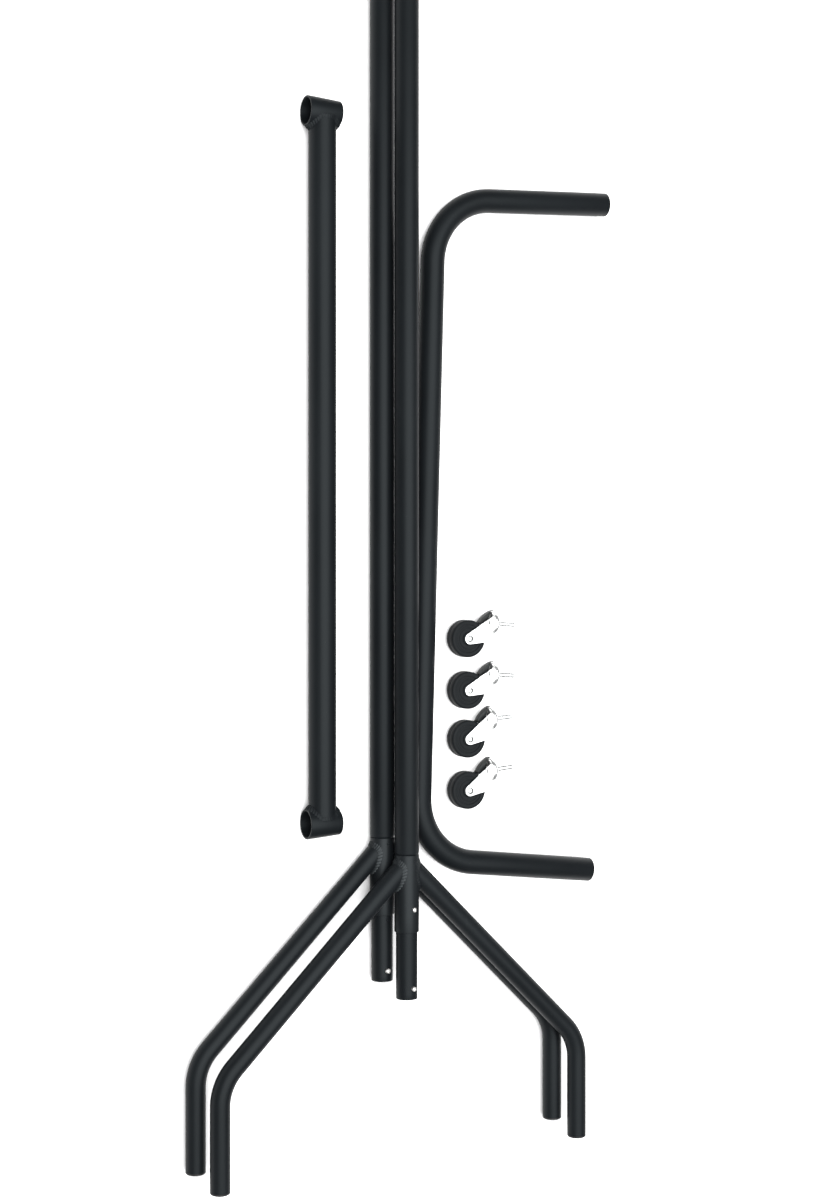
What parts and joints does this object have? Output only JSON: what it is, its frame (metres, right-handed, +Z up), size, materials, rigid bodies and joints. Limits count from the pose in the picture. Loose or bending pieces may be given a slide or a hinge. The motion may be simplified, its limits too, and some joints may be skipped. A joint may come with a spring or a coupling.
{
  "type": "rolling support stand kit",
  "caption": "Knock-down rolling support stand in black tube: leg frames with uprights, a crossbar with collars, a U-shaped top rail and braked stem castors, laid flat.",
  "frame": {"origin": "on the floor, under the middle of the box round the whole kit", "axes": "+Z up off the floor, +Y along the uprights towards their tops, +X towards the castors"},
  "size_m": [0.614, 1.6972, 0.0636],
  "materials": {
    "powder_black": "satin black powder coat on round steel tube",
    "zinc": "bright zinc plate on pressed and turned steel",
    "nickel": "bright nickel plate",
    "black_plastic": "matte black moulded plastic",
    "wheel_black": "matte black hard rubber tread on a moulded core"
  },
  "bodies": {
    "frame_a": {"leg_sleeve_a": "powder_black", "leg_left_a": "powder_black", "leg_right_a": "powder_black", "foot_insert_left_a": "black_plastic", "foot_insert_right_a": "black_plastic", "upright_a": "powder_black"},
    "snap_button_sleeve_a": {"snap_button_sleeve_a": "nickel"},
    "snap_button_end_a": {"snap_button_end_a": "nickel"},
    "snap_button_top_a": {"snap_button_top_a": "nickel"},
    "frame_b": {"leg_sleeve_b": "powder_black", "leg_left_b": "powder_black", "leg_right_b": "powder_black", "foot_insert_left_b": "black_plastic", "foot_insert_right_b": "black_plastic", "upright_b": "powder_black"},
    "snap_button_sleeve_b": {"snap_button_sleeve_b": "nickel"},
    "snap_button_end_b": {"snap_button_end_b": "nickel"},
    "snap_button_top_b": {"snap_button_top_b": "nickel"},
    "crossbar": {"crossbar_tube": "powder_black", "crossbar_collar_lower": "powder_black", "crossbar_collar_upper": "powder_black"},
    "rail": {"top_rail": "powder_black"},
    "castor_1_mount": {"castor_1_stem": "zinc", "castor_1_raceway": "zinc"},
    "castor_1_swivel": {"castor_1_fork": "zinc", "castor_1_axle_bolt": "zinc", "castor_1_axle_nut": "zinc", "castor_1_pedal_pin": "zinc"},
    "castor_1_roller": {"castor_1_wheel": "wheel_black"},
    "castor_1_brake": {"castor_1_pedal": "black_plastic"},
    "castor_2_mount": {"castor_2_stem": "zinc", "castor_2_raceway": "zinc"},
    "castor_2_swivel": {"castor_2_fork": "zinc", "castor_2_axle_bolt": "zinc", "castor_2_axle_nut": "zinc", "castor_2_pedal_pin": "zinc"},
    "castor_2_roller": {"castor_2_wheel": "wheel_black"},
    "castor_2_brake": {"castor_2_pedal": "black_plastic"},
    "castor_3_mount": {"castor_3_stem": "zinc", "castor_3_raceway": "zinc"},
    "castor_3_swivel": {"castor_3_fork": "zinc", "castor_3_axle_bolt": "zinc", "castor_3_axle_nut": "zinc", "castor_3_pedal_pin": "zinc"},
    "castor_3_roller": {"castor_3_wheel": "wheel_black"},
    "castor_3_brake": {"castor_3_pedal": "black_plastic"},
    "castor_4_mount": {"castor_4_stem": "zinc", "castor_4_raceway": "zinc"},
    "castor_4_swivel": {"castor_4_fork": "zinc", "castor_4_axle_bolt": "zinc", "castor_4_axle_nut": "zinc", "castor_4_pedal_pin": "zinc"},
    "castor_4_roller": {"castor_4_wheel": "wheel_black"},
    "castor_4_brake": {"castor_4_pedal": "black_plastic"}
  },
  "joints": [
    {"name": "press_sleeve_a", "type": "slide", "parent": "frame_a", "child": "snap_button_sleeve_a", "axis": [-0.0698, 0, -0.9976], "range_m": [0, 0.005], "stiffness_N_per_m": 500, "springref_m": -0.004},
    {"name": "press_end_a", "type": "slide", "parent": "frame_a", "child": "snap_button_end_a", "axis": [-0.0698, 0, -0.9976], "range_m": [0, 0.0045], "stiffness_N_per_m": 500, "springref_m": -0.004},
    {"name": "press_top_a", "type": "slide", "parent": "frame_a", "child": "snap_button_top_a", "axis": [-0.0698, 0, -0.9976], "range_m": [0, 0.0045], "stiffness_N_per_m": 500, "springref_m": -0.004},
    {"name": "frame_b_lift", "type": "slide", "parent": "frame_a", "child": "frame_b", "axis": [0, 0, 1], "range_m": [0, 0.15]},
    {"name": "press_sleeve_b", "type": "slide", "parent": "frame_b", "child": "snap_button_sleeve_b", "axis": [-0.2079, 0, -0.9781], "range_m": [0, 0.005], "stiffness_N_per_m": 500, "springref_m": -0.004},
    {"name": "press_end_b", "type": "slide", "parent": "frame_b", "child": "snap_button_end_b", "axis": [-0.2079, 0, -0.9781], "range_m": [0, 0.0045], "stiffness_N_per_m": 500, "springref_m": -0.004},
    {"name": "press_top_b", "type": "slide", "parent": "frame_b", "child": "snap_button_top_b", "axis": [-0.2079, 0, -0.9781], "range_m": [0, 0.0045], "stiffness_N_per_m": 500, "springref_m": -0.004},
    {"name": "crossbar_lift", "type": "slide", "parent": "frame_a", "child": "crossbar", "axis": [0, 0, 1], "range_m": [0, 0.15]},
    {"name": "rail_lift", "type": "slide", "parent": "frame_a", "child": "rail", "axis": [0, 0, 1], "range_m": [0, 0.15]},
    {"name": "castor_1_lift", "type": "slide", "parent": "frame_a", "child": "castor_1_mount", "axis": [0, 0, 1], "range_m": [0, 0.12]},
    {"name": "castor_1_turn", "type": "hinge", "parent": "castor_1_mount", "child": "castor_1_swivel", "pos_m": [0.13121, -0.15035, 0.0165], "axis": [0.9976, -0.0698, 0], "range_deg": [-90, 0]},
    {"name": "castor_1_spin", "type": "hinge", "parent": "castor_1_swivel", "child": "castor_1_roller", "pos_m": [0.08781, -0.16943, 0.0165], "axis": [0, 0, 1], "continuous": true},
    {"name": "castor_1_brake_press", "type": "hinge", "parent": "castor_1_swivel", "child": "castor_1_brake", "pos_m": [0.11552, -0.14825, 0.0165], "axis": [0, 0, 1], "range_deg": [0, 12]},
    {"name": "castor_2_lift", "type": "slide", "parent": "frame_a", "child": "castor_2_mount", "axis": [0, 0, 1], "range_m": [0, 0.12]},
    {"name": "castor_2_turn", "type": "hinge", "parent": "castor_2_mount", "child": "castor_2_swivel", "pos_m": [0.13121, -0.21915, 0.0165], "axis": [0.9976, -0.0698, 0], "range_deg": [-90, 0]},
    {"name": "castor_2_spin", "type": "hinge", "parent": "castor_2_swivel", "child": "castor_2_roller", "pos_m": [0.08781, -0.23823, 0.0165], "axis": [0, 0, 1], "continuous": true},
    {"name": "castor_2_brake_press", "type": "hinge", "parent": "castor_2_swivel", "child": "castor_2_brake", "pos_m": [0.11552, -0.21705, 0.0165], "axis": [0, 0, 1], "range_deg": [0, 12]},
    {"name": "castor_3_lift", "type": "slide", "parent": "frame_a", "child": "castor_3_mount", "axis": [0, 0, 1], "range_m": [0, 0.12]},
    {"name": "castor_3_turn", "type": "hinge", "parent": "castor_3_mount", "child": "castor_3_swivel", "pos_m": [0.12851, -0.27835, 0.0165], "axis": [0.9976, 0.0698, 0], "range_deg": [-90, 0]},
    {"name": "castor_3_spin", "type": "hinge", "parent": "castor_3_swivel", "child": "castor_3_roller", "pos_m": [0.08819, -0.30329, 0.0165], "axis": [0, 0, 1], "continuous": true},
    {"name": "castor_3_brake_press", "type": "hinge", "parent": "castor_3_swivel", "child": "castor_3_brake", "pos_m": [0.11268, -0.27846, 0.0165], "axis": [0, 0, 1], "range_deg": [0, 12]},
    {"name": "castor_4_lift", "type": "slide", "parent": "frame_a", "child": "castor_4_mount", "axis": [0, 0, 1], "range_m": [0, 0.12]},
    {"name": "castor_4_turn", "type": "hinge", "parent": "castor_4_mount", "child": "castor_4_swivel", "pos_m": [0.12851, -0.34685, 0.0165], "axis": [0.9976, 0.0698, 0], "range_deg": [-90, 0]},
    {"name": "castor_4_spin", "type": "hinge", "parent": "castor_4_swivel", "child": "castor_4_roller", "pos_m": [0.08819, -0.37179, 0.0165], "axis": [0, 0, 1], "continuous": true},
    {"name": "castor_4_brake_press", "type": "hinge", "parent": "castor_4_swivel", "child": "castor_4_brake", "pos_m": [0.11268, -0.34696, 0.0165], "axis": [0, 0, 1], "range_deg": [0, 12]}
  ]
}
